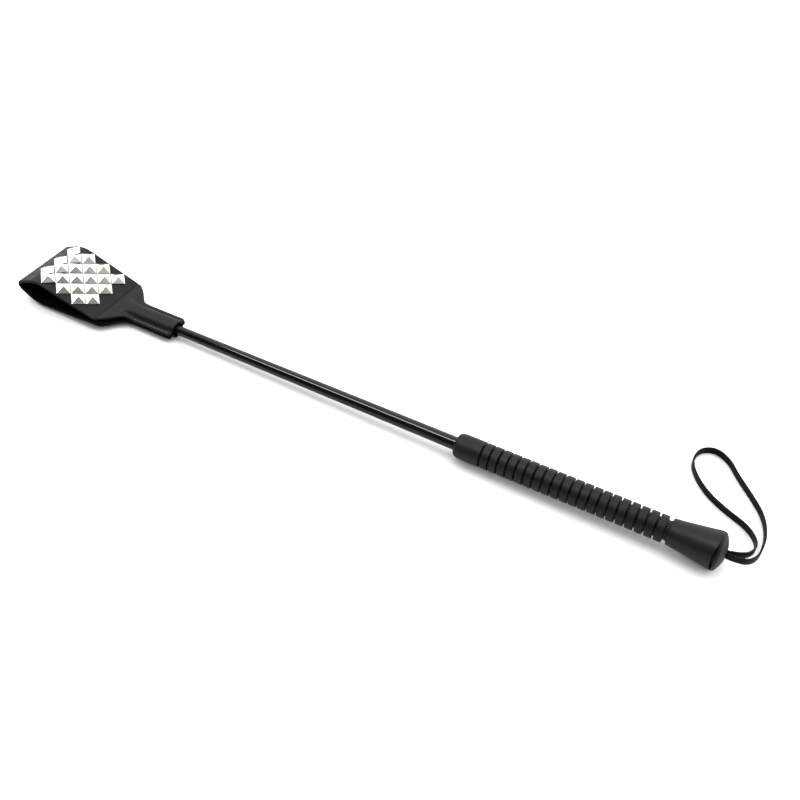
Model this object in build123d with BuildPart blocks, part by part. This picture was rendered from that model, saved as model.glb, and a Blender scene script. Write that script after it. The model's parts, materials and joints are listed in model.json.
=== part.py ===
"""Riding crop with a studded leather keeper loop and a wrist strap.

The crop lies as it is put down: the butt cap's rim and the belly of the keeper touch the floor,
so the stick slopes gently down towards the keeper. +X points to the butt, +Y is the far side and
+Z is up. The origin is on the floor, under the middle of the crop. All sizes are millimetres.
"""
import os
from math import cos, radians, sin, sqrt, tan

from build123d import *

# Stations along the stick's axis, measured from the middle of the crop, butt end positive.
hinge_station = -192.7
neck_end_station = -136.2
grip_station = 85.6
first_groove_station = 104.3
cap_station = 225.2
plug_station = 253.9
apex_station = 259.2

# Resting attitude.
rim_radius = 12.3
rim_gap = 0.12
rim_station = plug_station - rim_gap
belly_drop = 4.4
belly_station = -232.0
slope_sine = (rim_radius - belly_drop) / (rim_station - belly_station)
slope_cosine = sqrt(1 - slope_sine**2)
middle_height = rim_radius * slope_cosine - rim_station * slope_sine

# Shaft.
core_tip_radius = 2.53
core_butt_radius = 4.3
core_butt_station = 239.0
shaft_tip_station = -180.0
sheath_wall = 0.75
glue_gap = 0.05
tip_cap_length = 7.0
tip_cap_wall = 0.5
tip_cap_end_wall = 1.1

# Grip.
rib_count = 20
rib_pitch = 5.95
rib_radius = 8.35
groove_width = 1.3
groove_radius = 6.2
rib_corner_radius = 0.3
nose_radius = 6.3
nose_steps = [(0.5, 7.15), (2.0, 7.9), (6.0, 8.26)]  # distance from the grip's front, radius
nose_length = 12.0
spigot_radius = 6.4
spigot_length = 13.0

# Butt.
cap_lip_radius = 8.4
cap_lip_length = 1.0
cap_flare = [(11.0, 9.6), (20.0, 10.95)]  # distance from the cap's front, radius
cap_cavity_radius = 7.6
cap_cavity_gap = 1.2
plug_spigot_radius = 9.6
plug_spigot_length = 4.0
plug_seat_gap = 0.3
plug_rim_length = 2.3
plug_rim_drop = 1.6
dome_shoulder_drop = 0.85
worn_depth = 1.6
worn_slope = radians(17)
worn_turn = radians(18)
slot_clearance = 0.25
slot_depth = 11.0

# Leather.
leather = 2.2
layer_gap = 0.4
seam_height = 1.2
keeper_half_width = 25.0
neck_half_width = 9.6
shoulder_start = 4.9
shoulder_end = 18.2
outer_shoulder_radius = 2.5
inner_shoulder_radius = 9.0
neck_corner_radius = 2.0
knuckle_radius = 2.4
knuckle_gap = 0.8
bulge_radius = 5.2
pocket_clearance = 0.15
keeper_roll = radians(2.2)

# Stitching.
stitch_pitch = 3.4
stitch_count = 10
stitch_inset = 1.5
thread_radius = 0.35

# Studs: pyramids in a square grid, turned so that their corners point along the keeper.
stud_pitch = 9.75
stud_side = 9.5
stud_skirt = 0.6
stud_height = 3.2
stud_table = 1.0
stud_ridge_radius = 0.35
stud_rim_radius = 0.25
stud_step = stud_pitch / sqrt(2)
first_stud_distance = 11.9
prong_offset = 3.7
prong_width = 1.2
prong_thickness = 0.4
prong_foot = 1.6
prong_play = 0.1

# Wrist strap: a flat lace that stands on its edge.
strap_width = 5.0
strap_thickness = 1.4
strap_half_spacing = 0.9
tail_inner_station = 243.4
tail_recess = 0.3
rivet_station = 246.4
rivet_shank_radius = 1.0
rivet_head_radius = 2.3
rivet_head_thickness = 0.9

stick_origin = Vector(0, 0, middle_height)
stick_direction = Vector(slope_cosine, 0, slope_sine)
stick_up = Vector(-slope_sine, 0, slope_cosine)
stick_axis = Axis(stick_origin, stick_direction)
side_plane = Plane(origin=stick_origin, x_dir=stick_direction, z_dir=(0, -1, 0))
top_plane = Plane(origin=stick_origin, x_dir=stick_direction, z_dir=stick_up)
seam_plane = top_plane.offset(seam_height)


def cross_plane(station):
    """The plane square to the stick at a station, with its normal towards the butt."""
    return Plane(
        origin=stick_origin + stick_direction * station, x_dir=(0, 1, 0), z_dir=stick_direction
    )


def core_radius(station):
    """The glass-fibre core tapers evenly from the butt to the tip."""
    share = (station - shaft_tip_station) / (core_butt_station - shaft_tip_station)
    return core_tip_radius + share * (core_butt_radius - core_tip_radius)


def shaft_radius(station):
    """Outside radius of the covered shaft."""
    return core_radius(station) + glue_gap + sheath_wall


def write(piece, label):
    """Label one finished piece and write it to its own file."""
    piece.label = label
    export_step(piece, f"parts/{label}.step")


os.makedirs("parts", exist_ok=True)

# ---- Shaft ---------------------------------------------------------------------------------

with BuildPart() as shaft_core:
    with BuildSketch(side_plane):
        Polygon(
            (shaft_tip_station, 0),
            (shaft_tip_station, core_tip_radius),
            (core_butt_station, core_butt_radius),
            (core_butt_station, 0),
            align=None,
        )
    revolve(axis=stick_axis)
    chamfer(shaft_core.edges().filter_by(GeomType.CIRCLE).sort_by(Axis.X)[0], 0.6)
write(shaft_core.part, "shaft_core")

sheath_start = shaft_tip_station + 1.2
sheath_end = core_butt_station - 1.0
with BuildPart() as shaft_sheath:
    with BuildSketch(side_plane):
        Polygon(
            (sheath_start, core_radius(sheath_start) + glue_gap),
            (sheath_start, shaft_radius(sheath_start)),
            (sheath_end, shaft_radius(sheath_end)),
            (sheath_end, core_radius(sheath_end) + glue_gap),
            align=None,
        )
    revolve(axis=stick_axis)
write(shaft_sheath.part, "shaft_sheath")

tip_cap_start = shaft_tip_station - tip_cap_end_wall
tip_cap_bore = shaft_radius(tip_cap_start + tip_cap_length) + glue_gap
tip_cap_radius = tip_cap_bore + tip_cap_wall
with BuildPart() as shaft_tip_cap:
    with BuildSketch(cross_plane(tip_cap_start)):
        Circle(tip_cap_radius)
    extrude(amount=tip_cap_length)
    with BuildSketch(cross_plane(shaft_tip_station - glue_gap)):
        Circle(tip_cap_bore)
    extrude(amount=tip_cap_length, mode=Mode.SUBTRACT)
    fillet(shaft_tip_cap.edges().filter_by(GeomType.CIRCLE).sort_by(Axis.X)[0], 0.8)
write(shaft_tip_cap.part, "shaft_tip_cap")

# ---- Grip ----------------------------------------------------------------------------------

last_groove_station = first_groove_station + rib_count * rib_pitch
spigot_start = last_groove_station + groove_width / 2
spigot_end = cap_station + spigot_length
with BuildPart() as grip_sleeve:
    with BuildSketch(side_plane) as grip_profile:
        with BuildLine():
            bore_start = (grip_station, shaft_radius(grip_station) + glue_gap)
            bore_end = (spigot_end, shaft_radius(spigot_end) + glue_gap)
            nose_base = (grip_station, nose_radius)
            nose_top = (grip_station + nose_length, rib_radius)
            Line(bore_start, nose_base)
            nose_middle = [(grip_station + distance, radius) for distance, radius in nose_steps]
            Spline(nose_base, *nose_middle, nose_top, tangents=[(0.25, 1), (1, 0)])
            Polyline(
                nose_top,
                (spigot_start, rib_radius),
                (spigot_start, spigot_radius),
                (spigot_end, spigot_radius),
                bore_end,
                bore_start,
            )
        make_face()
        groove_places = [
            (first_groove_station + index * rib_pitch, rib_radius) for index in range(rib_count + 1)
        ]
        with Locations(*groove_places):
            Rectangle(groove_width, 2 * (rib_radius - groove_radius), mode=Mode.SUBTRACT)
        rib_corners = [
            corner
            for corner in grip_profile.vertices()
            if abs(side_plane.to_local_coords(corner).Y - rib_radius) < 0.01
            and side_plane.to_local_coords(corner).X > nose_top[0] + 1
        ]
        fillet(rib_corners, rib_corner_radius)
    revolve(axis=stick_axis)
write(grip_sleeve.part, "grip_sleeve")

# ---- Butt ----------------------------------------------------------------------------------

cavity_start = core_butt_station + cap_cavity_gap
seat_start = plug_station - plug_spigot_length - plug_seat_gap
seat_radius = plug_spigot_radius + glue_gap
with BuildPart() as butt_cap:
    with BuildSketch(side_plane):
        with BuildLine():
            flare = Spline(
                (cap_station + cap_lip_length, cap_lip_radius),
                *[(cap_station + distance, radius) for distance, radius in cap_flare],
                (rim_station, rim_radius),
            )
            lip = ThreePointArc(
                (cap_station, cap_lip_radius - 0.8 * cap_lip_length),
                (cap_station + 0.3 * cap_lip_length, cap_lip_radius - 0.25 * cap_lip_length),
                flare @ 0,
            )
            Polyline(
                flare @ 1,
                (rim_station, seat_radius),
                (seat_start, seat_radius),
                (seat_start, cap_cavity_radius),
                (cavity_start, cap_cavity_radius),
                (cavity_start, spigot_radius + glue_gap),
                (cap_station, spigot_radius + glue_gap),
                lip @ 0,
            )
        make_face()
    revolve(axis=stick_axis)
    # The rim is worn away in a crescent on the near side, above the middle.
    worn_side = stick_up * sin(worn_turn) - Vector(0, cos(worn_turn), 0)
    worn_plane = Plane(
        origin=stick_origin + stick_direction * (rim_station - worn_depth) + worn_side * rim_radius,
        z_dir=stick_direction * cos(worn_slope) + worn_side * sin(worn_slope),
    )
    split(bisect_by=worn_plane, keep=Keep.BOTTOM)
write(butt_cap.part, "butt_cap")

with BuildPart() as butt_plug:
    with BuildSketch(side_plane):
        with BuildLine():
            edge_start = (plug_station + 0.2, rim_radius - 0.1)
            edge_middle = (
                plug_station + 0.65 * plug_rim_length,
                rim_radius - 0.35 * plug_rim_drop,
            )
            edge_end = (plug_station + plug_rim_length, rim_radius - plug_rim_drop)
            ThreePointArc(edge_start, edge_middle, edge_end)
            dome = ThreePointArc(
                edge_end, (apex_station - dome_shoulder_drop, rim_radius / 2), (apex_station, 0)
            )
            Polyline(
                dome @ 1,
                (plug_station - plug_spigot_length, 0),
                (plug_station - plug_spigot_length, plug_spigot_radius),
                (plug_station - rim_gap, plug_spigot_radius),
                (plug_station, plug_spigot_radius + rim_gap),
                (plug_station, rim_radius - 0.5),
                edge_start,
            )
        make_face()
    revolve(axis=stick_axis)
    with BuildSketch(cross_plane(apex_station + 1)):
        RectangleRounded(
            2 * (strap_half_spacing + slot_clearance) + strap_thickness,
            strap_width + 2 * slot_clearance,
            0.6,
        )
    extrude(amount=-slot_depth - 1, mode=Mode.SUBTRACT)
write(butt_plug.part, "butt_plug")

# ---- Strap anchor --------------------------------------------------------------------------

tail_length = apex_station - tail_recess - tail_inner_station
for side, tail_name in ((-1, "strap_tail_near"), (1, "strap_tail_far")):
    with BuildPart() as strap_tail:
        with BuildSketch(cross_plane(tail_inner_station)):
            with Locations((side * strap_half_spacing, 0)):
                Rectangle(strap_thickness, strap_width)
        extrude(amount=tail_length)
        with BuildSketch(side_plane.offset(-5)):
            with Locations((rivet_station, 0)):
                Circle(rivet_shank_radius + glue_gap)
        extrude(amount=10, mode=Mode.SUBTRACT)
    write(strap_tail.part, tail_name)

rivet_reach = strap_half_spacing + strap_thickness / 2 + glue_gap
with BuildPart() as strap_rivet:
    with BuildSketch(side_plane):
        with Locations((rivet_station, 0)):
            Circle(rivet_shank_radius)
    extrude(amount=rivet_reach + 0.2, both=True)
    for side in (-1, 1):
        with BuildSketch(side_plane.offset(side * rivet_reach)):
            with Locations((rivet_station, 0)):
                Circle(rivet_head_radius)
        extrude(amount=side * rivet_head_thickness)
    fillet(
        strap_rivet.edges().filter_by(GeomType.CIRCLE).group_by(SortBy.RADIUS)[-1].sort_by(Axis.Y)[0],
        0.4,
    )
write(strap_rivet.part, "strap_rivet")

# ---- Neck ----------------------------------------------------------------------------------

neck_front = hinge_station + knuckle_radius + knuckle_gap
neck_outline = [
    (neck_front, -keeper_half_width),
    (hinge_station + shoulder_start, -keeper_half_width),
    (hinge_station + shoulder_end, -neck_half_width),
    (neck_end_station, -neck_half_width),
    (neck_end_station, neck_half_width),
    (hinge_station + shoulder_end, neck_half_width),
    (hinge_station + shoulder_start, keeper_half_width),
    (neck_front, keeper_half_width),
]
stitch_line = neck_half_width - stitch_inset
stitch_start = neck_end_station - 2.4 - (stitch_count - 1) * stitch_pitch
stitch_holes = [stitch_start + index * stitch_pitch for index in range(stitch_count)]


def neck_panel(upper):
    """One leather panel: a flat flange with half of the bulge that wraps the shaft."""
    with BuildPart() as panel:
        with BuildSketch(seam_plane) as outline:
            Polygon(*neck_outline, align=None)
            corners = outline.vertices().sort_by(Axis.X)
            fillet(corners[2:4], outer_shoulder_radius)
            fillet(outline.vertices().sort_by(Axis.X)[6:8], inner_shoulder_radius)
            fillet(outline.vertices().sort_by(Axis.X)[-2:], neck_corner_radius)
        extrude(amount=leather if upper else -leather)
        with BuildSketch(side_plane):
            with BuildLine():
                swell = Spline(
                    (neck_front + 1.5, 0.4),
                    (neck_front + 5.0, 3.3),
                    (neck_front + 8.5, 4.8),
                    (neck_front + 16.0, bulge_radius),
                    tangents=[(1, 0.5), (1, 0)],
                )
                Polyline(
                    swell @ 1,
                    (neck_end_station, bulge_radius),
                    (neck_end_station, 0),
                    (neck_front + 1.5, 0),
                    swell @ 0,
                )
            make_face()
        revolve(axis=stick_axis)
        split(bisect_by=seam_plane, keep=Keep.TOP if upper else Keep.BOTTOM)
        with BuildSketch(side_plane):
            pocket_start = tip_cap_start - pocket_clearance
            step_station = tip_cap_start + tip_cap_length + pocket_clearance
            Polygon(
                (pocket_start, 0),
                (pocket_start, tip_cap_radius + pocket_clearance),
                (step_station, tip_cap_radius + pocket_clearance),
                (step_station, shaft_radius(step_station) + glue_gap),
                (neck_end_station + 1, shaft_radius(neck_end_station + 1) + glue_gap),
                (neck_end_station + 1, 0),
                align=None,
            )
        revolve(axis=stick_axis, mode=Mode.SUBTRACT)
        with BuildSketch(seam_plane.offset(-leather - 1)):
            with Locations(*[(hole, side * stitch_line) for hole in stitch_holes for side in (-1, 1)]):
                Circle(thread_radius + glue_gap)
        extrude(amount=2 * leather + 2, mode=Mode.SUBTRACT)
    return panel.part


write(neck_panel(True), "neck_top_panel")
write(neck_panel(False), "neck_bottom_panel")


def stitch_row(side):
    """A running stitch: posts through both panels, joined by bars above and below in turn."""
    with BuildPart() as thread:
        with BuildSketch(seam_plane.offset(-leather - thread_radius)):
            with Locations(*[(hole, side * stitch_line) for hole in stitch_holes]):
                Circle(thread_radius)
        extrude(amount=2 * (leather + thread_radius))
        for index in range(stitch_count - 1):
            level = leather if index % 2 == 0 else -leather - thread_radius
            middle = stitch_holes[index] + stitch_pitch / 2
            with BuildSketch(seam_plane.offset(level)):
                with Locations((middle, side * stitch_line)):
                    SlotOverall(stitch_pitch + 2 * thread_radius, 2 * thread_radius)
            extrude(amount=thread_radius)
    return thread.part


write(stitch_row(-1), "neck_thread_near")
write(stitch_row(1), "neck_thread_far")

# ---- Keeper loop ---------------------------------------------------------------------------

# The keeper is twisted a little about the stick, its near side up.
keeper_across = Vector(0, cos(keeper_roll), 0) - stick_up * sin(keeper_roll)
keeper_plane = Plane(origin=stick_origin, x_dir=stick_direction, z_dir=-keeper_across)

# The outline is a strip folded back on itself: straight runs joined by tangent arcs.
loop_top = seam_height + knuckle_radius
loop_bottom = seam_height - knuckle_radius
arch_radius = 24.0
fold_radius = 4.6
belly_radius = 25.0
loop_corners = [
    (hinge_station, loop_top),
    (-241.0, 19.6),
    (-266.4, 9.3),
    (-246.5, -3.65),
    (hinge_station, loop_bottom),
]
with BuildLine(keeper_plane) as loop_line:
    FilletPolyline(*loop_corners, radius=[arch_radius, fold_radius, belly_radius])
outer_wire = loop_line.wire()
if (outer_wire @ 0 - outer_wire @ 1).dot(stick_up) < 0:
    outer_wire = Wire([edge.reversed() for edge in reversed(outer_wire.edges())])


def stud_plane(distance, across):
    """A plane on the loop's upper side, this far from the hinge, with its normal outwards."""
    foot = outer_wire.position_at(distance, position_mode=PositionMode.LENGTH)
    heading = outer_wire.tangent_at(distance, position_mode=PositionMode.LENGTH)
    outward = heading.cross(keeper_across)
    if outward.dot(stick_up) < 0:
        outward = -outward
    return Plane(origin=foot + keeper_across * across, x_dir=heading, z_dir=outward)


# Rows run along the keeper. Even rows hold four studs and odd rows three, half a step over.
stud_planes = []
for row in range(6):
    across = (row - 2.5) * stud_step
    places = (0, 2, 4, 6) if row % 2 else (1, 3, 5)
    for place in places:
        stud_planes.append(stud_plane(first_stud_distance + place * stud_step, across))

with BuildPart() as keeper_loop:
    with BuildSketch(keeper_plane) as loop_profile:
        with BuildLine():
            FilletPolyline(*loop_corners, radius=[arch_radius, fold_radius, belly_radius])
            Line(loop_corners[-1], loop_corners[0])
        make_face()
        offset(amount=-leather, mode=Mode.SUBTRACT)
        with Locations((hinge_station, seam_height)):
            Circle(knuckle_radius)
    extrude(amount=keeper_half_width, both=True)
    for plane in stud_planes:
        with BuildSketch(plane.offset(1)):
            with PolarLocations(prong_offset, 4, start_angle=45):
                Rectangle(prong_thickness + 2 * prong_play, prong_width + 2 * prong_play)
        extrude(amount=-leather - 2.2, mode=Mode.SUBTRACT)
write(keeper_loop.part, "keeper_loop")

# ---- Studs ---------------------------------------------------------------------------------


def edges_between(piece, plane, low, high):
    """The piece's edges whose middles lie between two heights above a plane."""
    return [
        edge for edge in piece.edges() if low < plane.to_local_coords(edge.center()).Z < high
    ]


def stud(plane):
    """A square pyramid with four prongs that pass through the leather and are bent under it."""
    with BuildPart() as piece:
        with BuildSketch(plane):
            Rectangle(stud_side, stud_side, rotation=45)
        extrude(amount=stud_skirt)
        with BuildSketch(plane.offset(stud_skirt)):
            Rectangle(stud_side, stud_side, rotation=45)
        with BuildSketch(plane.offset(stud_height)):
            Rectangle(stud_table, stud_table, rotation=45)
        loft()
        fillet(edges_between(piece, plane, stud_skirt + 0.01, stud_height + 1), stud_ridge_radius)
        fillet(edges_between(piece, plane, stud_skirt - 0.01, stud_skirt + 0.01), stud_rim_radius)
        with BuildSketch(plane):
            with PolarLocations(prong_offset, 4, start_angle=45):
                Rectangle(prong_thickness, prong_width)
        extrude(amount=-leather - prong_play - prong_thickness)
        with BuildSketch(plane.offset(-leather - prong_play - prong_thickness)):
            with PolarLocations(prong_offset - prong_foot / 2 + prong_thickness / 2, 4, start_angle=45):
                Rectangle(prong_foot, prong_width)
        extrude(amount=prong_thickness)
    return piece.part


for number, plane in enumerate(stud_planes, start=1):
    write(stud(plane), f"stud_{number:02d}")

# ---- Wrist strap ---------------------------------------------------------------------------

strap_route = [
    (261.1, -0.9, 12.3),
    (268.5, -0.6, 11.6),
    (275.0, 7.5, 8.2),
    (276.6, 19.0, 4.4),
    (276.0, 33.0, 2.6),
    (270.5, 46.5, 2.6),
    (259.5, 58.5, 2.6),
    (248.0, 69.5, 2.6),
    (240.5, 79.0, 2.6),
    (230.0, 84.2, 2.6),
    (221.0, 79.3, 2.6),
    (219.0, 67.8, 2.6),
    (224.5, 57.0, 2.6),
    (236.0, 46.0, 2.6),
    (250.5, 38.5, 2.6),
    (264.5, 33.5, 2.6),
    (272.8, 23.0, 4.4),
    (272.5, 11.5, 8.6),
    (267.0, 3.6, 11.6),
    (261.1, 0.9, 12.3),
]


def bend_radii(points):
    """Each bend is as large as its two runs allow."""
    radii = []
    for before, here, after in zip(points, points[1:], points[2:]):
        arriving = Vector(*here) - Vector(*before)
        leaving = Vector(*after) - Vector(*here)
        turn = radians(arriving.get_angle(leaving))
        radii.append(0.45 * min(arriving.length, leaving.length) / tan(turn / 2))
    return radii


strap_radii = bend_radii(strap_route)
print("strap bend radii, mm:", [round(radius, 1) for radius in strap_radii])
with BuildPart() as wrist_strap:
    with BuildLine() as strap_line:
        FilletPolyline(*strap_route, radius=strap_radii)
    strap_path = strap_line.wire()
    start_plane = Plane(
        origin=strap_path @ 0, x_dir=Vector(0, 0, 1).cross(strap_path % 0), z_dir=strap_path % 0
    )
    with BuildSketch(start_plane):
        Rectangle(strap_thickness, strap_width)
    sweep(path=strap_path, binormal=strap_path.moved(Location((0, 0, 20))))
print("strap length, mm:", round(strap_path.length, 1))
print("strap volume over section times length:", round(
    wrist_strap.part.volume / (strap_path.length * strap_width * strap_thickness), 4))
write(wrist_strap.part, "wrist_strap")
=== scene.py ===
"""Looks of the riding crop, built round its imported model. Lengths are metres, in the row frame."""
import json
import math

import bpy
from mathutils import Matrix, Vector


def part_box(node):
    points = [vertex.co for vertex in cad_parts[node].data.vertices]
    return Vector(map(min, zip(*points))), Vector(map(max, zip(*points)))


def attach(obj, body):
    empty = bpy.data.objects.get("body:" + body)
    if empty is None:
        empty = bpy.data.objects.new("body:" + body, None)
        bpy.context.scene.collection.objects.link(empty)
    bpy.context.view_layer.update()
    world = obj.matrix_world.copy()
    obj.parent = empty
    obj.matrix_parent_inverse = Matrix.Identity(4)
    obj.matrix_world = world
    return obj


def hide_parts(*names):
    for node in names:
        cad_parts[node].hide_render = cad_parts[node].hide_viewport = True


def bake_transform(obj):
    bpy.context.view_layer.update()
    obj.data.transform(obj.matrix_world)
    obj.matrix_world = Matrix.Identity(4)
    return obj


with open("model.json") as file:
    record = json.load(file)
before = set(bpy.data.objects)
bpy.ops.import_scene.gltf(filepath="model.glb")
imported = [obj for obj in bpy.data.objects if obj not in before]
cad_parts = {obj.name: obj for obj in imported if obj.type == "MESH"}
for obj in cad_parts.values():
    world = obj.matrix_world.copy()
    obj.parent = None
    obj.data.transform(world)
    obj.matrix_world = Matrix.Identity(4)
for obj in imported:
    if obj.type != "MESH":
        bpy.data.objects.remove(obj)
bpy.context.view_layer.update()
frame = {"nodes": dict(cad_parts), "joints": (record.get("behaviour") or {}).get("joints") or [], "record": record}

MM = 0.001

# ---- The stick's own axes ------------------------------------------------------------------
# Stations run along the stick from the keeper's fold line, butt end positive. Heights are above
# the shaft's axis, which lies SEAM_HEIGHT below the plane where the two neck layers meet.
SEAM_HEIGHT = 1.2 * MM
joints = {joint["name"]: Vector(joint["pos_m"]) for joint in frame["joints"]}
mounts = {mount["name"]: mount for mount in frame["record"]["mounts"]}
fold_line = joints["keeper_flex"]
stick_along = -Vector(mounts["grip_collar"]["axis"]).normalized()
stick_across = Vector((0, 1, 0))
stick_up = stick_along.cross(stick_across)


def on_stick(station, across, height):
    """A point given by its station along the stick, its distance across and its height."""
    return (
        fold_line
        + stick_along * station
        + stick_across * across
        + stick_up * (height - SEAM_HEIGHT)
    )


# ---- Mesh helpers --------------------------------------------------------------------------


def new_piece(name, points, faces, materials, face_materials=None, smooth=True):
    """A mesh object made of points and faces, with a material index for each face."""
    mesh = bpy.data.meshes.new(name)
    mesh.from_pydata([tuple(point) for point in points], [], faces)
    for one in materials:
        mesh.materials.append(one)
    if face_materials:
        mesh.polygons.foreach_set("material_index", face_materials)
    mesh.polygons.foreach_set("use_smooth", [smooth] * len(mesh.polygons))
    mesh.validate()
    mesh.update()
    piece = bpy.data.objects.new(name, mesh)
    bpy.context.scene.collection.objects.link(piece)
    return piece


def tube_faces(ring_count, ring_size, first=0):
    """The quads between rings of points, and a face over each end."""
    faces = []
    for ring in range(ring_count - 1):
        here = first + ring * ring_size
        for index in range(ring_size):
            after = (index + 1) % ring_size
            faces.append(
                (here + index, here + after, here + ring_size + after, here + ring_size + index)
            )
    faces.append(tuple(range(first + ring_size - 1, first - 1, -1)))
    last = first + (ring_count - 1) * ring_size
    faces.append(tuple(range(last, last + ring_size)))
    return faces


def soft_step(value):
    """0 below 0, 1 above 1, and smooth between."""
    value = min(max(value, 0.0), 1.0)
    return value * value * (3 - 2 * value)


def soft_between(value, span):
    """0 before a span, 1 after it, and smooth along it."""
    return soft_step((value - span[0]) / (span[1] - span[0]))


def soft_ramp(value, softness):
    """0 below 0 and the value itself above 0, rounded where they meet."""
    if value > 30 * softness:
        return value
    return softness * math.log1p(math.exp(value / softness))


# ---- Materials -----------------------------------------------------------------------------
RUBBER_SHEEN = 0.16
# Painted shade in the grip's grooves: the rubber's colour gets darker over GROOVE_SHADE_DEPTH below this radius,
# down to this share.
GROOVE_SHADE_RADIUS = 8.2 * MM
GROOVE_SHADE_DEPTH = 1.9 * MM
GROOVE_SHADE = 0.12
# The painted groove shade stops this far in front of the butt cap, so the gap there keeps the rubber's colour.
SHADE_END_TO_CAP = 3.4 * MM


def new_material(name, colour, roughness, **sockets):
    """A Principled material. Constant values go straight onto the shader's sockets."""
    made = bpy.data.materials.new(name)
    made.use_nodes = True
    shader = made.node_tree.nodes["Principled BSDF"]
    shader.inputs["Base Color"].default_value = (*colour, 1)
    shader.inputs["Roughness"].default_value = roughness
    for socket, value in sockets.items():
        shader.inputs[socket.replace("_", " ")].default_value = value
    return made


def add_texture(made, kind, scale, stretch=(1, 1, 1), **settings):
    """A procedural texture node, in the piece's own coordinates."""
    nodes, links = made.node_tree.nodes, made.node_tree.links
    place = nodes.new("ShaderNodeTexCoord")
    mapping = nodes.new("ShaderNodeMapping")
    mapping.inputs["Scale"].default_value = stretch
    texture = nodes.new(kind)
    texture.inputs["Scale"].default_value = scale
    for socket, value in settings.items():
        texture.inputs[socket.replace("_", " ")].default_value = value
    links.new(place.outputs["Object"], mapping.inputs["Vector"])
    links.new(mapping.outputs["Vector"], texture.inputs["Vector"])
    return texture


def texture_value(texture):
    """The texture's grey output."""
    return texture.outputs["Fac" if "Fac" in texture.outputs else "Distance"]


def grey_ramp(tree, source, start, end, low, high):
    """A Map Range node that takes a source from start..end to low..high."""
    ramp = tree.nodes.new("ShaderNodeMapRange")
    limits = (("From Min", start), ("From Max", end), ("To Min", low), ("To Max", high))
    for name, value in limits:
        ramp.inputs[name].default_value = value
    tree.links.new(source, ramp.inputs["Value"])
    return ramp


def vary(made, source, socket, low, high, start=0.3, end=0.7):
    """Let a grey source move a shader socket between two numbers or two colours."""
    nodes, links = made.node_tree.nodes, made.node_tree.links
    shader = nodes["Principled BSDF"]
    if isinstance(low, tuple):
        ramp = nodes.new("ShaderNodeValToRGB")
        ramp.color_ramp.elements[0].position = start
        ramp.color_ramp.elements[0].color = (*low, 1)
        ramp.color_ramp.elements[1].position = end
        ramp.color_ramp.elements[1].color = (*high, 1)
        links.new(source, ramp.inputs["Fac"])
        links.new(ramp.outputs["Color"], shader.inputs[socket])
        return
    span = grey_ramp(made.node_tree, source, start, end, low, high)
    links.new(span.outputs["Result"], shader.inputs[socket])


def add_bump(made, source, depth, strength):
    """Raise the surface by a grey source. A second call adds to the first."""
    nodes, links = made.node_tree.nodes, made.node_tree.links
    shader = nodes["Principled BSDF"]
    bump = nodes.new("ShaderNodeBump")
    bump.inputs["Distance"].default_value = depth
    bump.inputs["Strength"].default_value = strength
    links.new(source, bump.inputs["Height"])
    if shader.inputs["Normal"].links:
        links.new(shader.inputs["Normal"].links[0].from_socket, bump.inputs["Normal"])
    links.new(bump.outputs["Normal"], shader.inputs["Normal"])


def leather_material(name, dark, light, roughness, grain_depth, sheen):
    """Finished leather: pebbled grain with fine pores, and a patchy satin."""
    made = new_material(name, dark, roughness, Specular_IOR_Level=sheen)
    grain = add_texture(made, "ShaderNodeTexVoronoi", 1500, Randomness=1.0)
    patches = add_texture(made, "ShaderNodeTexNoise", 60, Detail=4.0)
    pores = add_texture(made, "ShaderNodeTexNoise", 3200, Detail=3.0)
    vary(made, texture_value(patches), "Base Color", dark, light)
    vary(made, texture_value(patches), "Roughness", roughness - 0.06, roughness + 0.08)
    wrinkles = add_texture(made, "ShaderNodeTexNoise", 420, Detail=3.0)
    add_bump(made, texture_value(wrinkles), 4.0 * grain_depth, 0.6)
    add_bump(made, texture_value(grain), grain_depth, 0.7)
    add_bump(made, texture_value(pores), 0.4 * grain_depth, 0.5)
    return made


def rubber_material(name, colour, roughness, grain_depth):
    """Matt moulded rubber with the fine spark grain of its mould."""
    made = new_material(name, colour, roughness, Specular_IOR_Level=RUBBER_SHEEN)
    grain = add_texture(made, "ShaderNodeTexNoise", 2400, Detail=5.0, Roughness=0.65)
    ripple = add_texture(made, "ShaderNodeTexNoise", 800, Detail=2.0)
    bloom = add_texture(made, "ShaderNodeTexNoise", 90, Detail=3.0)
    light = tuple(1.35 * channel for channel in colour)
    vary(made, texture_value(bloom), "Base Color", colour, light)
    vary(made, texture_value(bloom), "Roughness", roughness - 0.05, roughness + 0.06)
    add_bump(made, texture_value(ripple), 2.5 * grain_depth, 0.6)
    add_bump(made, texture_value(grain), grain_depth, 0.6)
    return made


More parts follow.
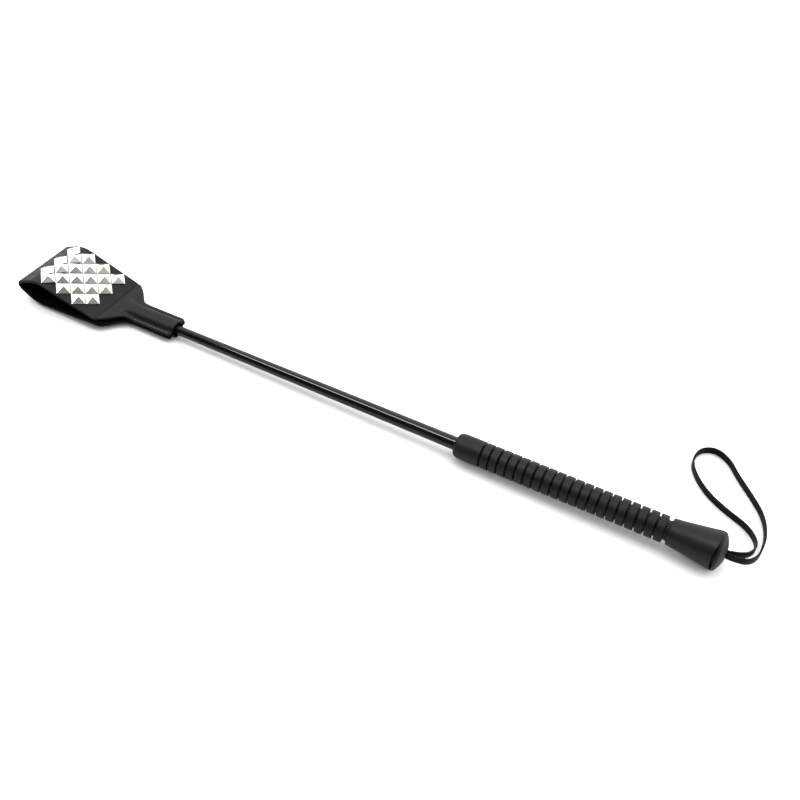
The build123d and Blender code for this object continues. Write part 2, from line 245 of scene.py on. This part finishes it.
def paint_groove_shade(made, radius, end):
    """Painted shade: the rubber's colour darkened below a radius round the stick's axis, as far along it as an
    end.
    """
    nodes, links = made.node_tree.nodes, made.node_tree.links
    shader = nodes["Principled BSDF"]
    tilt = math.asin(stick_along.z)
    axis_point = on_stick(0, 0, 0)
    level = axis_point.z * math.cos(tilt) - axis_point.x * math.sin(tilt)
    place = nodes.new("ShaderNodeTexCoord")
    mapping = nodes.new("ShaderNodeMapping")
    mapping.inputs["Rotation"].default_value = (0, tilt, 0)
    mapping.inputs["Location"].default_value = (0, 0, -level)
    flatten = nodes.new("ShaderNodeVectorMath")
    flatten.operation = "MULTIPLY"
    flatten.inputs[1].default_value = (0, 1, 1)
    length = nodes.new("ShaderNodeVectorMath")
    length.operation = "LENGTH"
    outside = grey_ramp(
        made.node_tree,
        length.outputs["Value"],
        start=radius - GROOVE_SHADE_DEPTH,
        end=radius,
        low=GROOVE_SHADE,
        high=1.0,
    )
    along = nodes.new("ShaderNodeSeparateXYZ")
    past = nodes.new("ShaderNodeMath")
    past.operation = "GREATER_THAN"
    past.inputs[1].default_value = end
    kept = nodes.new("ShaderNodeMath")
    kept.operation = "MAXIMUM"
    links.new(place.outputs["Object"], mapping.inputs["Vector"])
    links.new(mapping.outputs["Vector"], flatten.inputs[0])
    links.new(flatten.outputs["Vector"], length.inputs[0])
    links.new(mapping.outputs["Vector"], along.inputs["Vector"])
    links.new(along.outputs["X"], past.inputs[0])
    links.new(outside.outputs["Result"], kept.inputs[0])
    links.new(past.outputs["Value"], kept.inputs[1])
    # Painted shade: the base colour is scaled down inside the grooves.
    painted_shade = nodes.new("ShaderNodeVectorMath")
    painted_shade.operation = "SCALE"
    links.new(shader.inputs["Base Color"].links[0].from_socket, painted_shade.inputs[0])
    links.new(kept.outputs["Value"], painted_shade.inputs["Scale"])
    links.new(painted_shade.outputs["Vector"], shader.inputs["Base Color"])


def lacquer_material():
    """Black thread cover drowned in gloss lacquer, with a trace of its weave."""
    made = new_material(
        "shaft_lacquer",
        (0.0030, 0.0029, 0.0030),
        0.07,
        Specular_IOR_Level=0.19,
    )
    weave = add_texture(made, "ShaderNodeTexNoise", 900, stretch=(0.25, 1, 1), Detail=2.0)
    tone = add_texture(made, "ShaderNodeTexNoise", 25, Detail=2.0)
    vary(made, texture_value(tone), "Base Color", (0.0028, 0.0027, 0.0028), (0.0060, 0.0048, 0.0042))
    add_bump(made, texture_value(weave), 0.006 * MM, 0.25)
    return made


def nickel_material():
    """Nickel plate on pressed steel: bright, warm, and a little uneven."""
    made = new_material("stud_nickel", (0.62, 0.6, 0.56), 0.16, Metallic=1.0)
    dents = add_texture(made, "ShaderNodeTexNoise", 420, Detail=2.0)
    haze = add_texture(made, "ShaderNodeTexNoise", 1500, Detail=4.0)
    vary(made, texture_value(haze), "Roughness", 0.13, 0.2)
    vary(made, texture_value(dents), "Base Color", (0.59, 0.57, 0.53), (0.65, 0.635, 0.6))
    add_bump(made, texture_value(dents), 0.05 * MM, 0.25)
    return made


def thread_material():
    """Waxed black thread, laid up in fine plies."""
    made = new_material("stitch_thread", (0.022, 0.022, 0.023), 0.36)
    plies = add_texture(made, "ShaderNodeTexWave", 1600, Distortion=0.4)
    vary(made, texture_value(plies), "Base Color", (0.014, 0.014, 0.0145), (0.034, 0.033, 0.034))
    add_bump(made, texture_value(plies), 0.05 * MM, 0.5)
    return made


def steel_material():
    """Plain turned steel."""
    made = new_material("rivet_steel", (0.52, 0.52, 0.53), 0.34, Metallic=1.0)
    lines = add_texture(made, "ShaderNodeTexNoise", 1800, stretch=(1, 0.1, 1), Detail=2.0)
    vary(made, texture_value(lines), "Roughness", 0.26, 0.42)
    return made


def glass_fibre_material():
    """Resin-bonded rod with its glass strands along it."""
    made = new_material("glass_fibre", (0.3, 0.32, 0.28), 0.35)
    strands = add_texture(made, "ShaderNodeTexNoise", 1500, stretch=(0.03, 1, 1), Detail=2.0)
    vary(made, texture_value(strands), "Base Color", (0.24, 0.26, 0.22), (0.36, 0.38, 0.34))
    return made


keeper_grain = leather_material(
    "keeper_leather",
    dark=(0.0040, 0.0038, 0.0046),
    light=(0.0070, 0.0067, 0.0078),
    roughness=0.42,
    grain_depth=0.11 * MM,
    sheen=0.115,
)
cut_edge = leather_material(
    "leather_cut_edge",
    dark=(0.0030, 0.0029, 0.0030),
    light=(0.0055, 0.0052, 0.0052),
    roughness=0.6,
    grain_depth=0.04 * MM,
    sheen=0.055,
)
flesh_side = leather_material(
    "leather_flesh_side",
    dark=(0.0012, 0.0011, 0.0012),
    light=(0.0022, 0.0020, 0.0021),
    roughness=0.9,
    grain_depth=0.12 * MM,
    sheen=0.035,
)
lace_side = leather_material(
    "lace_leather",
    dark=(0.0034, 0.0028, 0.0029),
    light=(0.0048, 0.0037, 0.0037),
    roughness=0.5,
    grain_depth=0.04 * MM,
    sheen=0.04,
)
lace_edge = leather_material(
    "lace_cut_edge",
    dark=(0.0070, 0.0040, 0.0036),
    light=(0.0160, 0.0078, 0.0066),
    roughness=0.6,
    grain_depth=0.05 * MM,
    sheen=0.06,
)
grip_rubber = rubber_material(
    "grip_rubber", colour=(0.0040, 0.0040, 0.0043), roughness=0.5, grain_depth=0.05 * MM
)
butt_rubber = rubber_material(
    "butt_rubber", colour=(0.0045, 0.0045, 0.0048), roughness=0.48, grain_depth=0.03 * MM
)
tip_plastic = rubber_material(
    "tip_plastic", colour=(0.012, 0.012, 0.012), roughness=0.6, grain_depth=0.02 * MM
)
paint_groove_shade(
    grip_rubber, GROOVE_SHADE_RADIUS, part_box("butt_cap")[0][0] - SHADE_END_TO_CAP
)
shaft_lacquer = lacquer_material()
stud_nickel = nickel_material()
stitch_thread = thread_material()
rivet_steel = steel_material()
glass_fibre = glass_fibre_material()

cad_materials = {
    "shaft_core": glass_fibre,
    "shaft_sheath": shaft_lacquer,
    "shaft_tip_cap": tip_plastic,
    "grip_sleeve": grip_rubber,
    "butt_cap": butt_rubber,
    "butt_plug": butt_rubber,
    "strap_tail_near": lace_side,
    "strap_tail_far": lace_side,
    "strap_rivet": rivet_steel,
}
for node, piece in frame["nodes"].items():
    made = stud_nickel if node.startswith("stud_") else cad_materials.get(node)
    if made:
        for material_slot in piece.material_slots:
            material_slot.material = made

# ---- Camera --------------------------------------------------------------------------------
CAMERA_PLACE = Vector((0.25208, -0.38583, 0.48676))
CAMERA_AIM = Vector((0.03468, 0.01703, 0.008))
CAMERA_ROLL = math.radians(1.178)


def make_camera():
    """The camera, rolled a little about its own line of sight."""
    data = bpy.data.cameras.new("camera")
    data.lens = 45.05
    data.sensor_width = 36
    camera = bpy.data.objects.new("camera", data)
    aim = (CAMERA_AIM - CAMERA_PLACE).to_track_quat("-Z", "Y").to_matrix().to_4x4()
    camera.matrix_world = (
        Matrix.Translation(CAMERA_PLACE) @ aim @ Matrix.Rotation(CAMERA_ROLL, 4, "Z")
    )
    bpy.context.scene.collection.objects.link(camera)
    bpy.context.scene.camera = camera


make_camera()

# ---- Wrist strap ---------------------------------------------------------------------------
STRAP_WIDTH = 5.0 * MM
STRAP_THICKNESS = 1.2 * MM
STRAP_CORNER = 0.4 * MM
STRAP_ROUTE = [
    (0.2588, -0.0009, 0.0124),
    (0.2685, -0.0006, 0.0116),
    (0.2750, 0.0075, 0.0082),
    (0.2766, 0.0190, 0.0044),
    (0.2760, 0.0330, 0.0026),
    (0.2705, 0.0465, 0.0026),
    (0.2595, 0.0585, 0.0026),
    (0.2480, 0.0695, 0.0026),
    (0.2405, 0.0790, 0.0026),
    (0.2300, 0.0842, 0.0026),
    (0.2210, 0.0793, 0.0026),
    (0.2190, 0.0678, 0.0026),
    (0.2245, 0.0570, 0.0026),
    (0.2360, 0.0460, 0.0026),
    (0.2505, 0.0385, 0.0026),
    (0.2645, 0.0335, 0.0026),
    (0.2728, 0.0230, 0.0044),
    (0.2725, 0.0115, 0.0086),
    (0.2670, 0.0036, 0.0116),
    (0.2588, 0.0009, 0.0124),
]


def smooth_line(points, steps):
    """The points of a NURBS spline that has these control points."""
    curve = bpy.data.curves.new("line", "CURVE")
    curve.dimensions = "3D"
    curve.resolution_u = steps
    spline = curve.splines.new("NURBS")
    spline.points.add(len(points) - 1)
    for control, point in zip(spline.points, points):
        control.co = (*point, 1)
    spline.order_u = 3
    spline.use_endpoint_u = True
    carrier = bpy.data.objects.new("line", curve)
    mesh = bpy.data.meshes.new_from_object(carrier)
    line = [vertex.co.copy() for vertex in mesh.vertices]
    bpy.data.objects.remove(carrier)
    bpy.data.curves.remove(curve)
    bpy.data.meshes.remove(mesh)
    return line


def lace_section():
    """Half thickness and half width of a rounded strip, corner by corner."""
    inner_x = STRAP_THICKNESS / 2 - STRAP_CORNER
    inner_y = STRAP_WIDTH / 2 - STRAP_CORNER
    section = []
    for corner, (side_x, side_y) in enumerate(((1, 1), (-1, 1), (-1, -1), (1, -1))):
        for step in range(4):
            turn = math.radians(90 * corner + 30 * step)
            section.append(
                (
                    side_x * inner_x + STRAP_CORNER * math.cos(turn),
                    side_y * inner_y + STRAP_CORNER * math.sin(turn),
                )
            )
    return section


def make_wrist_strap():
    """A flat lace that stands on its edge, doubled into a loop."""
    line = smooth_line(STRAP_ROUTE, 12)
    section = lace_section()
    up = Vector((0, 0, 1))
    points = []
    for index, point in enumerate(line):
        before = line[max(index - 1, 0)]
        after = line[min(index + 1, len(line) - 1)]
        heading = (after - before).normalized()
        side = up.cross(heading).normalized()
        rise = heading.cross(side)
        for across, along_width in section:
            points.append(point + side * across + rise * along_width)
    size = len(section)
    faces = tube_faces(len(line), size)
    broad_faces = (size // 2 - 1, size - 1)
    face_materials = [
        0 if index % size in broad_faces else 1 for index in range((len(line) - 1) * size)
    ] + [1, 1]
    strap = new_piece("wrist_lace", points, faces, [lace_side, lace_edge], face_materials)
    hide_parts("wrist_strap")
    # Known fault: the part of the loop left of start stays with the handle when the loop swings,
    # so the strap kinks between the two.
    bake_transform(strap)
    return strap


make_wrist_strap()

# ---- Keeper and neck -----------------------------------------------------------------------
# One strip of leather is folded at the tip. Its two layers close over the end of the shaft.
LEATHER = 2.2 * MM
EDGE_ROUND = 0.55 * MM
EDGE_TURNS = (30, 60, 90)
HALF_WIDTH = 25.0 * MM
NECK_HALF_WIDTH = 9.6 * MM
NECK_LENGTH = 56.5 * MM
SHOULDER_START = 4.9 * MM
SHOULDER_END = 18.2 * MM
SHOULDER_ROUNDS = (1.3 * MM, 1.9 * MM)
END_CORNER = 2.0 * MM
LAYER_GAP = 0.05 * MM
KNUCKLE = 2.4 * MM
# The outside of the loop: station and height of each corner, and its rounding.
LOOP_CORNERS = [
    (0.0, SEAM_HEIGHT + KNUCKLE),
    (-48.3 * MM, 19.6 * MM),
    (-73.7 * MM, 9.3 * MM),
    (-53.8 * MM, -3.65 * MM),
    (0.0, SEAM_HEIGHT - KNUCKLE),
]
LOOP_ROUNDS = [24.0 * MM, 4.6 * MM, 25.0 * MM]
# The loop is twisted about the stick, near side up. The twist fades out along the neck.
LOOP_ROLL = math.radians(2.2)
ROLL_FADE = 12.0 * MM
ROW_STEP = 0.9 * MM
CREASE_STATION = 1.2 * MM
CREASE_DEPTH = 0.8 * MM
CREASE_WIDTH = 0.5 * MM
CREASE_REACH = 3.0 * MM
NEAR_TRIM = 1.3 * MM
TRIM_REACH = 40.0 * MM
SHOULDER_TRIM = 1.5 * MM
NEAR_LIFT = 1.0 * MM
LIFT_SPAN = (5.0 * MM, 13.0 * MM)
NEAR_DROOP = 1.3 * MM
DROOP_START = (14.0 * MM, 24.0 * MM)
DROOP_SPAN = (3.5 * MM, 9.5 * MM)
TOP_INSET = 0.5 * MM
EDGE_GAPE = 0.5 * MM
# The shoulders' trim, lift and gape rise along the first span and fade along the second.
SHOULDER_RISE = (-2.0 * MM, 7.0 * MM)
SHOULDER_FADE = (14.0 * MM, 25.0 * MM)
# The swelling over the shaft: it rises and narrows along the first stretch of the neck.
SWELL_RISE = 9 * MM
SWELL_CLOSE = 17 * MM
SWELL_WIDE = 12.0 * MM
SWELL_NARROWING = 5.9 * MM
SWELL_SQUARING = 0.7
MOUTH_LENGTH = 5 * MM
# Height of the swelling and of the hollow in each layer, and how much more they open at the mouth.
TOP_SWELL = (2.2 * MM, 0.3 * MM)
TOP_HOLLOW = (2.9 * MM, 0.45 * MM)
BOTTOM_SWELL = (4.1 * MM, 0.2 * MM)
BOTTOM_HOLLOW = (5.15 * MM, 0.3 * MM)
HOLLOW_NARROWER = 1.25
THINNEST = 0.9 * MM
# The leather is pressed into a line along each foot of the shaft's swelling.
FOOT_LINE = 6.3 * MM
FOOT_DEPTH = 0.45 * MM
FOOT_WIDTH = 0.6 * MM
PRESS_LEAD = 3 * MM
# Spacing of the neck's rows, the station where they start, and the number of columns across the strip.
NECK_ROW_STEP = 0.3 * MM
NECK_START = 0.4 * MM
COLUMNS = 60

STITCH_PITCH = 3.4 * MM
STITCH_COUNT = 10
STITCH_INSET = 1.5 * MM
STITCH_LAST = NECK_LENGTH - 2.4 * MM
STITCH_LINE = NECK_HALF_WIDTH - STITCH_INSET
THREAD_RADIUS = 0.42 * MM
DIMPLE_DEPTH = 0.28 * MM
DIMPLE_WIDTH = 0.75 * MM
# Each stitch arches up from its holes, a little askew. Depths are below the leather's surface.
STITCH_ARCH = 0.34 * MM
STITCH_SUNK = 0.22 * MM
STITCH_SLANT = 0.12 * MM
STITCH_BED = 0.1 * MM
STITCH_MARGIN = 0.06
stitch_holes = [STITCH_LAST - index * STITCH_PITCH for index in range(STITCH_COUNT)]


def rounded_line(corners, rounds, step):
    """Points along straight runs joined by tangent arcs."""
    points = [Vector(corner) for corner in corners]
    line = []
    start = points[0]
    for index, radius in enumerate(rounds, start=1):
        corner = points[index]
        arriving = (corner - points[index - 1]).normalized()
        leaving = (points[index + 1] - corner).normalized()
        turn = arriving.angle_signed(leaving)
        reach = radius * math.tan(abs(turn) / 2)
        arc_start = corner - arriving * reach
        count = max(1, round((arc_start - start).length / step))
        for part in range(count):
            line.append(start.lerp(arc_start, part / count))
        side = 1 if turn < 0 else -1
        centre = arc_start + Vector((-arriving.y, arriving.x)) * radius * side
        spoke = arc_start - centre
        count = max(6, round(radius * abs(turn) / step))
        for part in range(count):
            angle = side * abs(turn) * part / count
            line.append(
                centre
                + Vector(
                    (
                        spoke.x * math.cos(angle) - spoke.y * math.sin(angle),
                        spoke.x * math.sin(angle) + spoke.y * math.cos(angle),
                    )
                )
            )
        start = corner + leaving * reach
    count = max(1, round((points[-1] - start).length / step))
    for part in range(count + 1):
        line.append(start.lerp(points[-1], part / count))
    return line


def on_leather(station, across, height):
    """A point of the strip: the loop's twist is full at the fold line and fades along the neck."""
    roll = LOOP_ROLL * (1 - soft_step(station / ROLL_FADE))
    turned_across = across * math.cos(roll) + height * math.sin(roll)
    turned_height = height * math.cos(roll) - across * math.sin(roll)
    return on_stick(station, turned_across, turned_height)


def shoulder_share(station):
    """1 along the shoulders, fading out before the fold line and along the neck."""
    return soft_between(station, SHOULDER_RISE) * (1 - soft_between(station, SHOULDER_FADE))


def near_trim(station):
    """How much narrower the upper layer's near side is cut, most of all at the shoulder."""
    rise = soft_step((station + TRIM_REACH) / TRIM_REACH)
    fade = 1 - soft_step((station - SHOULDER_START) / SHOULDER_END)
    return NEAR_TRIM * rise * fade + SHOULDER_TRIM * shoulder_share(station)


def half_width(station):
    """Half the leather's width at a station: wide keeper, sloping shoulders, narrow neck."""
    slope = (HALF_WIDTH - NECK_HALF_WIDTH) / (SHOULDER_END - SHOULDER_START)
    width = (
        HALF_WIDTH
        - slope * soft_ramp(station - SHOULDER_START, SHOULDER_ROUNDS[0])
        + slope * soft_ramp(station - SHOULDER_END, SHOULDER_ROUNDS[1])
    )
    past = station - (NECK_LENGTH - END_CORNER)
    if past > 0:
        width -= END_CORNER - math.sqrt(max(END_CORNER**2 - past**2, 0))
    return width


def shaft_swell(station):
    """How much of the shaft's swelling the leather shows, its half width and its squareness."""
    rise = soft_step(station / SWELL_RISE)
    closing = soft_step(station / SWELL_CLOSE)
    return rise, SWELL_WIDE - SWELL_NARROWING * closing, 1 + SWELL_SQUARING * closing


def stitch_dimple(station, across):
    """How far the thread pulls the leather in beside its holes."""
    depth = 0
    for hole in stitch_holes:
        away = math.hypot(station - hole, abs(across) - STITCH_LINE)
        depth += DIMPLE_DEPTH * math.exp(-((away / DIMPLE_WIDTH) ** 2))
    return depth


def edge_gape(station, across):
    """How far the lower layer hangs away from the upper one along the shoulders."""
    outside = soft_step((abs(across) - STITCH_LINE) / (NECK_HALF_WIDTH - STITCH_LINE))
    return EDGE_GAPE * outside * shoulder_share(station)


def near_lift(station, across):
    """How far the upper layer's near side stands up along the shoulder."""
    return NEAR_LIFT * soft_between(-across, LIFT_SPAN) * shoulder_share(station)


def near_droop(station, across):
    """How far the near flange bends down beside the shaft."""
    return NEAR_DROOP * soft_between(station, DROOP_START) * soft_between(-across, DROOP_SPAN)


def lobe(reach, power=1.0):
    """1 in the middle and 0 from a reach of 1 on, rounder for a lower power."""
    return math.cos(math.pi * min(reach, 1.0) / 2) ** power


def neck_heights(station, across, upper):
    """Outer and inner height of one neck layer."""
    rise, spread, squareness = shaft_swell(station)
    reach = min(abs(across) / spread, 1.0) ** squareness
    hollow_reach = min(HOLLOW_NARROWER * abs(across) / spread, 1.0) ** squareness
    mouth = soft_step((station - NECK_LENGTH + MOUTH_LENGTH) / MOUTH_LENGTH)
    stitched = soft_step((station - stitch_holes[-1] + PRESS_LEAD) / PRESS_LEAD)
    pulled = FOOT_DEPTH * stitched * math.exp(-(((abs(across) - FOOT_LINE) / FOOT_WIDTH) ** 2))
    pulled += stitch_dimple(station, across)
    level = SEAM_HEIGHT - near_droop(station, across)
    if upper:
        pulled += fold_crease(station)
        level += near_lift(station, across)
        swell = (TOP_SWELL[0] + TOP_SWELL[1] * mouth) * lobe(reach)
        outer = level + LEATHER + rise * swell - pulled
        hollow = (TOP_HOLLOW[0] + TOP_HOLLOW[1] * mouth) * lobe(hollow_reach)
        inner = level + LAYER_GAP + rise * hollow
        return outer, min(inner, outer - THINNEST)
    level -= edge_gape(station, across)
    swell = (BOTTOM_SWELL[0] + BOTTOM_SWELL[1] * mouth) * lobe(reach)
    outer = level - LEATHER - rise * swell + pulled
    hollow = (BOTTOM_HOLLOW[0] + BOTTOM_HOLLOW[1] * mouth) * lobe(hollow_reach, 0.8)
    inner = level - LAYER_GAP - rise * hollow
    return outer, max(inner, outer + THINNEST)


def crowded_start(line):
    """The same line with extra points in its first few millimetres, where the crease runs."""
    crowded = []
    for here, after in zip(line, line[1:]):
        parts = 4 if here.x > -CREASE_REACH else 1
        for part in range(parts):
            crowded.append(here.lerp(after, part / parts))
    return crowded + [line[-1]]


def fold_crease(station):
    """Depth of the sharp crease across the grain side at the fold line."""
    away = (station - CREASE_STATION) / CREASE_WIDTH
    return CREASE_DEPTH * math.exp(-(away**2))


def strip_rows():
    """The strip's cross rows: layer, place, how far the surface is rounded off, and normal."""
    rows = []
    neck = []
    for turn in (90, 60, 30):
        share = math.radians(turn)
        past = NECK_LENGTH - EDGE_ROUND * (1 - math.sin(share))
        neck.append((past, EDGE_ROUND * (1 - math.cos(share))))
    neck_count = round(NECK_LENGTH / NECK_ROW_STEP)
    body_length = NECK_LENGTH - EDGE_ROUND - NECK_START
    for index in range(neck_count + 1):
        neck.append((NECK_START + body_length * (1 - index / neck_count), 0.0))
    for station, inset in neck:
        rows.append(("upper", station, inset, None))
    loop = crowded_start(rounded_line(LOOP_CORNERS, LOOP_ROUNDS, ROW_STEP))
    for index, point in enumerate(loop):
        before = loop[max(index - 1, 0)]
        after = loop[min(index + 1, len(loop) - 1)]
        heading = (after - before).normalized()
        rows.append(("loop", point, 0.0, Vector((heading.y, -heading.x))))
    for station, inset in reversed(neck):
        rows.append(("lower", station, inset, None))
    return rows


def edge_columns(half, trim):
    """Distances across the strip, with how far the surface has rounded off at each."""
    far = half - EDGE_ROUND
    near = far - trim
    columns = [((far + near) * index / COLUMNS - near, 0.0) for index in range(COLUMNS + 1)]
    for turn in EDGE_TURNS:
        reach = EDGE_ROUND * math.sin(math.radians(turn))
        drop = EDGE_ROUND * (1 - math.cos(math.radians(turn)))
        columns.append((far + reach, drop))
        columns.insert(0, (-near - reach, drop))
    return columns


def strip_points(row):
    """One closed ring of points round the strip: the outside, then the inside back again."""
    layer, place, inset, normal = row
    outside = []
    inside = []
    if layer == "loop":
        trim = near_trim(place.x) if normal.y > 0 else 0
        for across, drop in edge_columns(HALF_WIDTH, trim):
            outer = place - normal * drop
            inner = place - normal * (LEATHER - drop)
            if normal.y > 0:
                outer = outer - normal * fold_crease(place.x)
            outside.append(on_leather(outer.x, across, outer.y))
            inside.append(on_leather(inner.x, across, inner.y))
        return outside + inside[::-1]
    upper = layer == "upper"
    sign = 1 if upper else -1
    half = half_width(place)
    trim = near_trim(place) if upper else 0
    if upper:
        half -= TOP_INSET * soft_step(place / SHOULDER_START)
    for across, drop in edge_columns(half, trim):
        outer, inner = neck_heights(place, across, upper)
        total = min(drop + inset, 0.48 * abs(outer - inner))
        outside.append(on_leather(place, across, outer - sign * total))
        inside.append(on_leather(place, across, inner + sign * total))
    return outside + inside[::-1]


def make_keeper_leather():
    """The folded strip with its rounded edges, as one closed skin."""
    rows = strip_rows()
    points = []
    for row in rows:
        points.extend(strip_points(row))
    columns = COLUMNS + 1 + 2 * len(EDGE_TURNS)
    size = 2 * columns
    faces = tube_faces(len(rows), size)[:-2]
    marks = []
    for row in rows[:-1]:
        # Painted shade: under the loop, the grain's rounded edges take the darker, duller cut-edge material.
        under = row[0] == "loop" and row[3].y < 0
        shaded_edge_faces = len(EDGE_TURNS) + 1 if under else 0
        for index in range(size):
            if index == size - 1 or columns - 1 - shaded_edge_faces <= index < columns or index < shaded_edge_faces:
                marks.append(1)
            else:
                marks.append(0 if index < columns else 2)
    for ring in (0, len(rows) - 1):
        first = ring * size
        for index in range(columns - 1):
            quad = (
                first + index,
                first + index + 1,
                first + size - 2 - index,
                first + size - 1 - index,
            )
            faces.append(quad if ring else quad[::-1])
            marks.append(1)
    keeper = new_piece(
        "keeper_strip", points, faces, [keeper_grain, cut_edge, flesh_side], marks
    )
    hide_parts("keeper_loop", "neck_top_panel", "neck_bottom_panel")
    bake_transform(keeper)
    return keeper


def make_stitches(name, side, node):
    """A row of stitches above and below one flange."""
    points = []
    faces = []
    ring_size = 8
    ring_count = 9
    for upper in (True, False):
        sign = 1 if upper else -1
        for hole, following in zip(stitch_holes, stitch_holes[1:]):
            first = len(points)
            for ring in range(ring_count):
                share = ring / (ring_count - 1)
                reach = STITCH_MARGIN + (1 - 2 * STITCH_MARGIN) * share
                station = hole + (following - hole) * reach
                slant = STITCH_SLANT * (share - 0.5)
                lift = STITCH_ARCH * math.sin(math.pi * share) ** 0.6 - STITCH_SUNK
                level = SEAM_HEIGHT - near_droop(station, side * STITCH_LINE)
                surface = level + sign * (LEATHER - STITCH_BED)
                girth = THREAD_RADIUS * (0.55 + 0.45 * math.sin(math.pi * share) ** 0.5)
                for spoke in range(ring_size):
                    turn = 2 * math.pi * spoke / ring_size
                    points.append(
                        on_stick(
                            station,
                            side * (STITCH_LINE + slant + girth * math.cos(turn)),
                            surface + sign * (lift + girth * math.sin(turn)),
                        )
                    )
            faces.extend(tube_faces(ring_count, ring_size, first))
    stitches = new_piece(name, points, faces, [stitch_thread])
    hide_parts(node)
    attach(stitches, "handle")
    return stitches


make_keeper_leather()
make_stitches("neck_stitches_near", -1, "neck_thread_near")
make_stitches("neck_stitches_far", 1, "neck_thread_far")

# ---- Floor and light -----------------------------------------------------------------------
# The crop lies on a white table. The room is bright behind and above it and dark in front of it,
# and one soft box hangs over the near left, so only that box shows in the studs' near faces.
FLOOR_SIZE = 60.0
FLOOR_GAP = 0.00005
STRIP_PLACE = (-0.9, -0.42, 2.2)
STRIP_SIZE = (1.1, 0.5)
STRIP_RADIANCE = 31.0
DARK_SIDE = 0.05
BRIGHT_SIDE = 2.4
# Where the near side's dark turns bright, by the y of the direction.
NEAR_EDGE = (-0.2, -0.03)
LOW_LEFT_SHARE = 0.3
# The low left is dark by how little a direction leans along this one.
LOW_LEFT_LEAN = (0.4, 0, 1)
LOW_LEFT_EDGE = (-0.2, 0.2)
FILL_STRENGTH = 2.7
FILL_SPREAD = math.radians(120)


def make_floor():
    """A plain white floor, a hair below the crop."""
    half = FLOOR_SIZE / 2
    corners = [(-half, -half, 0), (half, -half, 0), (half, half, 0), (-half, half, 0)]
    paint = new_material("floor_paint", (0.86, 0.86, 0.86), 0.9, Specular_IOR_Level=0.0)
    floor = new_piece("floor", corners, [(0, 1, 2, 3)], [paint], smooth=False)
    floor.location.z = -FLOOR_GAP


def make_strip_light():
    """A soft box that faces straight down and only gives glints."""
    data = bpy.data.lights.new("strip", "AREA")
    data.shape = "RECTANGLE"
    data.size, data.size_y = STRIP_SIZE
    data.energy = STRIP_RADIANCE * math.pi * STRIP_SIZE[0] * STRIP_SIZE[1]
    light = bpy.data.objects.new("strip", data)
    light.location = STRIP_PLACE
    light.visible_diffuse = False
    bpy.context.scene.collection.objects.link(light)


def make_top_fill():
    """A very broad light from above that keeps the table white and gives no glints."""
    data = bpy.data.lights.new("top_fill", "SUN")
    data.energy = FILL_STRENGTH
    data.angle = FILL_SPREAD
    light = bpy.data.objects.new("top_fill", data)
    light.visible_glossy = False
    bpy.context.scene.collection.objects.link(light)


def make_room_light():
    """A room that is dark on the near side and low on the left, behind a white backdrop."""
    world = bpy.data.worlds.new("room")
    world.use_nodes = True
    nodes, links = world.node_tree.nodes, world.node_tree.links
    place = nodes.new("ShaderNodeTexCoord")
    split = nodes.new("ShaderNodeSeparateXYZ")
    links.new(place.outputs["Generated"], split.inputs["Vector"])
    near = grey_ramp(
        world.node_tree, split.outputs["Y"], *NEAR_EDGE, low=DARK_SIDE, high=BRIGHT_SIDE
    )
    near.interpolation_type = "SMOOTHSTEP"
    lean = nodes.new("ShaderNodeVectorMath")
    lean.operation = "DOT_PRODUCT"
    lean.inputs[1].default_value = LOW_LEFT_LEAN
    links.new(place.outputs["Generated"], lean.inputs[0])
    corner = grey_ramp(
        world.node_tree, lean.outputs["Value"], *LOW_LEFT_EDGE, low=LOW_LEFT_SHARE, high=1.0
    )
    corner.interpolation_type = "SMOOTHSTEP"
    both = nodes.new("ShaderNodeMath")
    both.operation = "MULTIPLY"
    links.new(near.outputs["Result"], both.inputs[0])
    links.new(corner.outputs["Result"], both.inputs[1])
    nodes["Background"].inputs["Color"].default_value = (1, 1, 1, 1)
    seen = nodes.new("ShaderNodeLightPath")
    backdrop = nodes.new("ShaderNodeMath")
    backdrop.operation = "MAXIMUM"
    links.new(both.outputs["Value"], backdrop.inputs[0])
    links.new(seen.outputs["Is Camera Ray"], backdrop.inputs[1])
    links.new(backdrop.outputs["Value"], nodes["Background"].inputs["Strength"])
    bpy.context.scene.world = world


make_floor()
make_strip_light()
make_top_fill()
make_room_light()
bpy.context.scene.view_settings.view_transform = "Standard"
